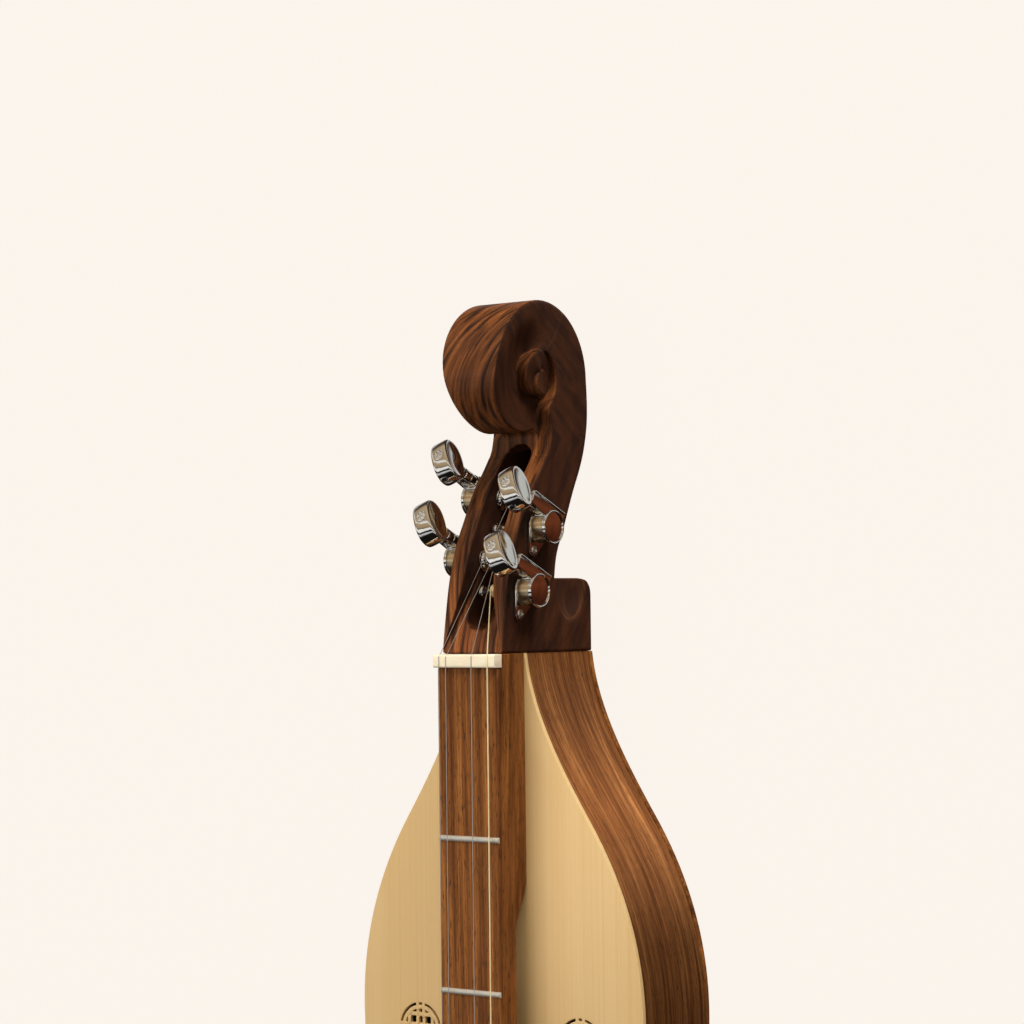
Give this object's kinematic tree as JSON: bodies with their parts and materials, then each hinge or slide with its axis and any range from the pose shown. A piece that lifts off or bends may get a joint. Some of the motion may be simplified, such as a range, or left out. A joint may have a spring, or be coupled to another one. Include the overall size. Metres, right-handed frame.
{
  "type": "appalachian dulcimer",
  "caption": "Hourglass appalachian dulcimer with an arched fretboard, carved scroll head, slotted pegbox and geared tuning machines.",
  "frame": {"origin": "under the middle of the bounding box, on the plane of the back that the instrument lies on", "axes": "+X to the instrument's right, +Y along the strings towards the scroll, +Z out of the fretboard"},
  "size_m": [0.19, 0.953, 0.0889],
  "materials": {
    "walnut": "satin oiled walnut, streaked along the grain",
    "dark_walnut": "satin dark figured walnut",
    "spruce": "satin straight-grained spruce",
    "block_wood": "plain sanded",
    "bone": "polished bone",
    "nickel": "polished nickel silver",
    "chrome": "polished chrome",
    "string_steel": "plain steel wire",
    "wound_bronze": "wound bronze wire"
  },
  "bodies": {
    "dulcimer": {"head": "dark_walnut", "head_block": "block_wood", "tail_block": "block_wood", "back": "walnut", "soundboard": "spruce", "rib_right": "walnut", "rib_left": "walnut", "fretboard": "walnut", "nut": "bone", "bridge": "bone", "back_brace_upper": "block_wood", "back_brace_lower": "block_wood", "top_brace_upper": "block_wood", "top_brace_lower": "block_wood", "fret_01": "nickel", "fret_02": "nickel", "fret_03": "nickel", "fret_04": "nickel", "fret_05": "nickel", "fret_06": "nickel", "fret_06_half": "nickel", "fret_07": "nickel", "fret_08": "nickel", "fret_09": "nickel", "fret_10": "nickel", "fret_11": "nickel", "fret_12": "nickel", "fret_13": "nickel", "fret_14": "nickel", "fret_15": "nickel", "string_melody_outer": "string_steel", "string_melody_inner": "string_steel", "string_middle": "string_steel", "string_bass": "wound_bronze", "pin_melody_outer": "nickel", "pin_melody_inner": "nickel", "pin_middle": "nickel", "pin_bass": "nickel", "tuner_right_lower_housing": "chrome", "tuner_right_lower_bushing": "chrome", "tuner_left_lower_housing": "chrome", "tuner_left_lower_bushing": "chrome", "tuner_right_upper_housing": "chrome", "tuner_right_upper_bushing": "chrome", "tuner_left_upper_housing": "chrome", "tuner_left_upper_bushing": "chrome"},
    "tuner_right_lower_key": {"tuner_right_lower_button": "chrome", "tuner_right_lower_worm": "chrome"},
    "tuner_right_lower_roller": {"tuner_right_lower_post": "chrome"},
    "tuner_left_lower_key": {"tuner_left_lower_button": "chrome", "tuner_left_lower_worm": "chrome"},
    "tuner_left_lower_roller": {"tuner_left_lower_post": "chrome"},
    "tuner_right_upper_key": {"tuner_right_upper_button": "chrome", "tuner_right_upper_worm": "chrome"},
    "tuner_right_upper_roller": {"tuner_right_upper_post": "chrome"},
    "tuner_left_upper_key": {"tuner_left_upper_button": "chrome", "tuner_left_upper_worm": "chrome"},
    "tuner_left_upper_roller": {"tuner_left_upper_post": "chrome"}
  },
  "joints": [
    {"name": "tuner_right_lower_key_turn", "type": "hinge", "parent": "dulcimer", "child": "tuner_right_lower_key", "pos_m": [0.02245, 0.3444, 0.0537], "axis": [0, 0.4003, 0.9164], "continuous": true},
    {"name": "tuner_right_lower_post_turn", "type": "hinge", "parent": "dulcimer", "child": "tuner_right_lower_roller", "pos_m": [0.01745, 0.3389, 0.0561], "axis": [1, 0, 0], "continuous": true},
    {"name": "tuner_left_lower_key_turn", "type": "hinge", "parent": "dulcimer", "child": "tuner_left_lower_key", "pos_m": [-0.02245, 0.3593, 0.0486], "axis": [0, 0.4003, 0.9164], "continuous": true},
    {"name": "tuner_left_lower_post_turn", "type": "hinge", "parent": "dulcimer", "child": "tuner_left_lower_roller", "pos_m": [-0.01745, 0.3538, 0.051], "axis": [1, 0, 0], "continuous": true},
    {"name": "tuner_right_upper_key_turn", "type": "hinge", "parent": "dulcimer", "child": "tuner_right_upper_key", "pos_m": [0.02245, 0.374, 0.0421], "axis": [0, 0.4003, 0.9164], "continuous": true},
    {"name": "tuner_right_upper_post_turn", "type": "hinge", "parent": "dulcimer", "child": "tuner_right_upper_roller", "pos_m": [0.01745, 0.3685, 0.0445], "axis": [1, 0, 0], "continuous": true},
    {"name": "tuner_left_upper_key_turn", "type": "hinge", "parent": "dulcimer", "child": "tuner_left_upper_key", "pos_m": [-0.02245, 0.3885, 0.0344], "axis": [0, 0.4003, 0.9164], "continuous": true},
    {"name": "tuner_left_upper_post_turn", "type": "hinge", "parent": "dulcimer", "child": "tuner_left_upper_roller", "pos_m": [-0.01745, 0.383, 0.0368], "axis": [1, 0, 0], "continuous": true}
  ],
  "couplings": [
    {"joint": "tuner_right_lower_post_turn", "follows": "tuner_right_lower_key_turn", "ratio": -0.071429},
    {"joint": "tuner_left_lower_post_turn", "follows": "tuner_left_lower_key_turn", "ratio": 0.071429},
    {"joint": "tuner_right_upper_post_turn", "follows": "tuner_right_upper_key_turn", "ratio": -0.071429},
    {"joint": "tuner_left_upper_post_turn", "follows": "tuner_left_upper_key_turn", "ratio": 0.071429}
  ]
}
